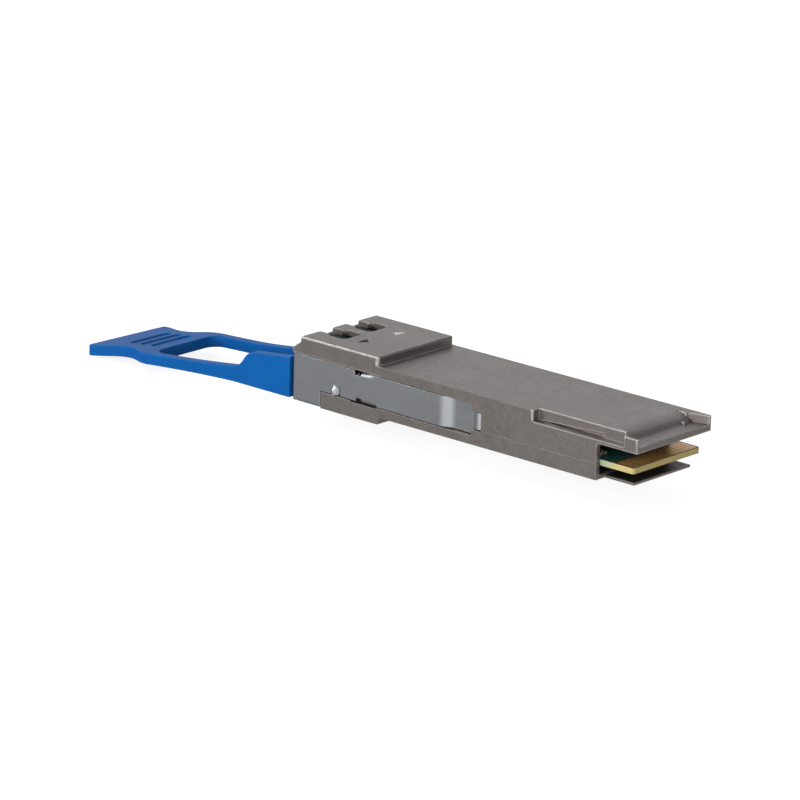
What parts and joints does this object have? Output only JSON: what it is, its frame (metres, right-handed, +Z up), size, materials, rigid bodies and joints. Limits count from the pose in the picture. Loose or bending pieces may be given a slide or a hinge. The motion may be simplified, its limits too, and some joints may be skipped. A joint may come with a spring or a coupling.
{
  "type": "optical transceiver module",
  "caption": "Flat pluggable fibre-optic transceiver with a raised receptacle nose, sliding side latches, a hooded card edge and a soft pull tab.",
  "frame": {"origin": "on the flat underside that rests on the cage floor, on the centre plane, midway between the two rear screws; the rear edge of the hood is 26.5 mm behind it towards +X", "axes": "-X towards the fibre side and the pull tab, Y across the width, +Z up towards the heat-sink face"},
  "size_m": [0.1187, 0.0184, 0.0141],
  "materials": {
    "housing": "nickel-plated zinc casting, fine satin grain",
    "slider_sheet": "rolled stainless sheet, satin",
    "spring_wire": "drawn wire",
    "pull_tab": "soft moulded elastomer, fine matt texture",
    "receptacle": "moulded, matt slate",
    "ceramic": "ground ceramic",
    "gasket": "conductive elastomer",
    "gold_plate": "hard gold plating",
    "clamp_sheet": "stamped spring sheet",
    "flex_film": "amber film with copper traces",
    "board": "green solder mask over glass laminate",
    "chip_package": "moulded epoxy",
    "component_ceramic": "fired ceramic with tinned ends",
    "thermal_pad": "soft filled silicone",
    "screw_steel": "black-nickel plated",
    "label_film": "blank white film"
  },
  "bodies": {
    "housing": {"upper_shell": "housing", "lower_shell": "housing", "return_spring_left": "spring_wire", "return_spring_right": "spring_wire", "shell_screw_1": "screw_steel", "shell_screw_2": "screw_steel", "shell_screw_3": "screw_steel", "shell_screw_4": "screw_steel", "blank_label": "label_film", "fibre_receptacle": "receptacle", "transmit_sleeve": "ceramic", "receive_sleeve": "ceramic", "emi_gasket": "gasket", "transmitter_subassembly": "gold_plate", "receiver_subassembly": "gold_plate", "retainer_clamp": "clamp_sheet", "transmitter_flex": "flex_film", "receiver_flex": "flex_film", "transmitter_thermal_pad": "thermal_pad", "receiver_thermal_pad": "thermal_pad", "main_board": "board", "edge_contacts_top": "gold_plate", "edge_contacts_bottom": "gold_plate", "retimer_chip": "chip_package", "retimer_thermal_pad": "thermal_pad", "laser_driver_chip": "chip_package", "receive_amplifier_chip": "chip_package", "microcontroller_chip": "chip_package", "power_converter_chip": "chip_package", "clock_oscillator": "component_ceramic", "power_inductor_1": "chip_package", "power_inductor_2": "chip_package", "filter_capacitor_1": "component_ceramic", "filter_capacitor_2": "component_ceramic", "filter_capacitor_3": "component_ceramic", "filter_capacitor_4": "component_ceramic", "filter_capacitor_5": "component_ceramic", "filter_capacitor_6": "component_ceramic"},
    "latch": {"latch_slider": "slider_sheet", "pull_tab": "pull_tab"}
  },
  "joints": [
    {"name": "latch_slide", "type": "slide", "parent": "housing", "child": "latch", "axis": [-1, 0, 0], "range_m": [0, 0.002], "stiffness_N_per_m": 900, "springref_m": -0.001, "deforming": ["return_spring_left", "return_spring_right"]}
  ]
}
